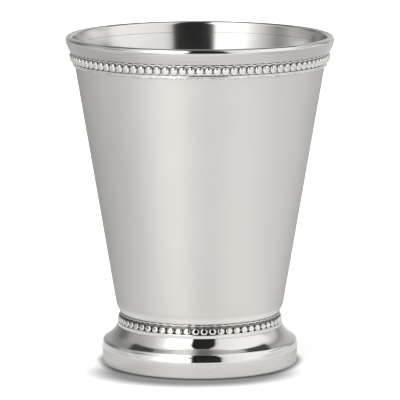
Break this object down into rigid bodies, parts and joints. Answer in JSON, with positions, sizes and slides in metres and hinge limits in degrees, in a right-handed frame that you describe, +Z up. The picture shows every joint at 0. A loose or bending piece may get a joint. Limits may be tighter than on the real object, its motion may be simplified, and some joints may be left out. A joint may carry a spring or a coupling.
{
  "type": "julep cup",
  "caption": "Tapered metal drinking cup with a rolled rim, beaded wires under the rim and above a spun ogee foot, satin wall and polished trim.",
  "frame": {"origin": "middle of the foot on the standing face", "axes": "+Z up along the cup's axis, out of the mouth; X and Y any, the cup is turned about Z"},
  "size_m": [0.0826, 0.0826, 0.1016],
  "materials": {
    "satin_steel": "satin, brushed round the axis outside, lathe-polished inside",
    "polished_steel": "mirror polished",
    "solder": "solder, dressed and polished over"
  },
  "bodies": {
    "root": {"cup_body": "satin_steel", "rim_moulding": "polished_steel", "rim_bead_wire": "polished_steel", "rim_solder": "solder", "foot_ring": "polished_steel", "foot_bead_wire": "polished_steel", "foot_solder": "solder"}
  },
  "joints": []
}
